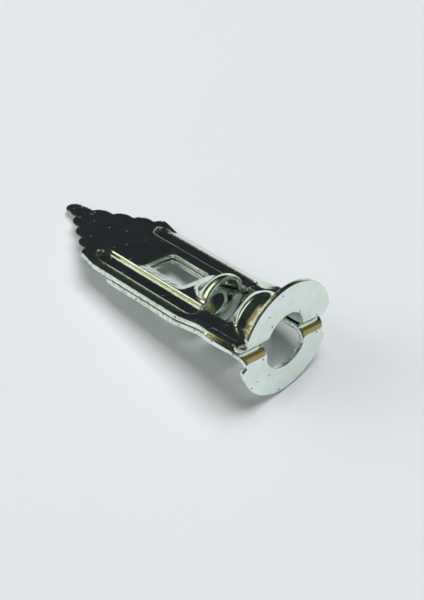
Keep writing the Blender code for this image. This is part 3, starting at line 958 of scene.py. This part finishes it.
def soft_light(name, way, distance, size, power, colour, in_reflections):
    """Oblong light that looks at the object, with its long edges square to the screw axis."""
    data = bpy.data.lights.new(name, "AREA")
    data.shape = "RECTANGLE"
    data.size, data.size_y = size
    data.energy = power
    data.color = colour
    item = bpy.data.objects.new(name, data)
    long_edge = way.cross(SCREW_AXIS).normalized()
    short_edge = way.cross(long_edge)
    item.matrix_world = (Matrix.Translation(way * distance)
                         @ Matrix((long_edge, short_edge, way)).transposed().to_4x4())
    item.visible_glossy = in_reflections
    bpy.context.scene.collection.objects.link(item)


def room_glow(n, way, centre, stops):
    """Value that depends on how far a direction is from the centre; stops are (cosine, value)."""
    aim = n.add("ShaderNodeVectorMath", {"operation": "DOT_PRODUCT"})
    n.put(aim, "0", way)
    n.put(aim, "1", tuple(centre))
    return n.ramp(aim.outputs["Value"], stops)


def room():
    """Dim green-grey room, with a gold band round the window and a warm wall behind the far side."""
    world = bpy.data.worlds.new("room")
    bpy.context.scene.world = world
    world.use_nodes = True
    n = Nodes(world.node_tree)
    background = world.node_tree.nodes["Background"]
    way = n.add("ShaderNodeTexCoord").outputs["Generated"]
    height = n.add("ShaderNodeSeparateXYZ", Vector=way).outputs["Z"]
    walls = n.mix(n.ramp(n.noise(way, 2.2, 2.0), [(0.40, 0.0), (0.62, 1.0)]), (0.017, 0.017, 0.025),
                  (0.031, 0.044, 0.036))
    colour = n.mix(n.ramp(height, [(0.0, 0.0), (0.02, 1.0)]), (0.75, 0.78, 0.79), walls)
    reach = -WINDOW_WAY.dot(SCREW_AXIS)
    half, fade = 0.12, 0.24
    band = room_glow(n, way, -SCREW_AXIS, [(reach - fade, 0.0), (reach - half, 1.0),
                                           (reach + half, 1.0), (reach + fade, 0.0)])
    near_window = n.math("MULTIPLY", band, room_glow(n, way, WINDOW_WAY, [(0.68, 0.0), (0.86, 1.0)]))
    colour = n.mix(near_window, colour, (0.36, 0.29, 0.12))
    high_wall = room_glow(n, way, direction(150.0, 28.0), [(0.93, 0.0), (0.98, 1.0)])
    low_wall = room_glow(n, way, direction(140.0, 10.0), [(0.955, 0.0), (0.98, 1.0)])
    colour = n.mix(high_wall, colour, (0.10, 0.10, 0.045))
    colour = n.mix(low_wall, colour, (0.36, 0.27, 0.11))
    n.put(background, "Color", colour)
    background.inputs["Strength"].default_value = 1.0


def camera():
    """Looks down at the anchor from in front of its head, as in the picture of it."""
    azimuth, elevation, roll = 41.1, 50.0, math.radians(4.36)
    distance, field = 0.1464, math.radians(23.96)
    target = Vector((0.00534, 0.00002, 0.00346))
    back = direction(azimuth, elevation)
    level_up = (Vector((0, 0, 1)) - back * back.z).normalized()
    level_right = level_up.cross(back)
    up = level_up * math.cos(roll) - level_right * math.sin(roll)
    data = bpy.data.cameras.new("camera")
    data.lens = data.sensor_width / 2 / math.tan(field / 2)
    data.clip_start = 0.01
    data.clip_end = 10.0
    item = bpy.data.objects.new("camera", data)
    item.matrix_world = (Matrix.Translation(target + back * distance)
                         @ Matrix((up.cross(back), up, back)).transposed().to_4x4())
    bpy.context.scene.collection.objects.link(item)
    bpy.context.scene.camera = item


def crosses_hinge(piece):
    """Bakes the sheet's placement into its mesh; nothing ties it to the head or the leaf."""
    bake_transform(piece)


def main():
    plate = zinc_plate("zinc_plate", (0.84, 0.92, 0.91), (0.73, 0.84, 0.72), (0.83, 0.82, 0.66), 0.07, 0.95)
    upper = upper_half()
    upper.data.materials.append(plate)
    crosses_hinge(upper)
    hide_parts("upper_head", "upper_leaf")
    lower = lower_half()
    lower.data.materials.append(plate)
    crosses_hinge(lower)
    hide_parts("lower_head", "lower_leaf")
    fold = side_fold()
    fold.data.materials.append(plate)
    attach(fold, "head")
    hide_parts("side_fold")
    floor()
    room()
    soft_light("overhead_softbox", direction(182.0, 80.0), 1.4, (0.9, 0.9), 17.1, (0.955, 0.97, 1.0), False)
    soft_light("window_softbox", WINDOW_WAY, 0.6, (0.66, 0.14), 0.25, (0.98, 1.0, 0.97), True)
    soft_light("fill_softbox", direction(-40.0, 35.0), 0.9, (0.6, 0.5), 2.2, (0.94, 0.97, 1.0), False)
    camera()
    bpy.context.scene.view_settings.view_transform = "Standard"


main()
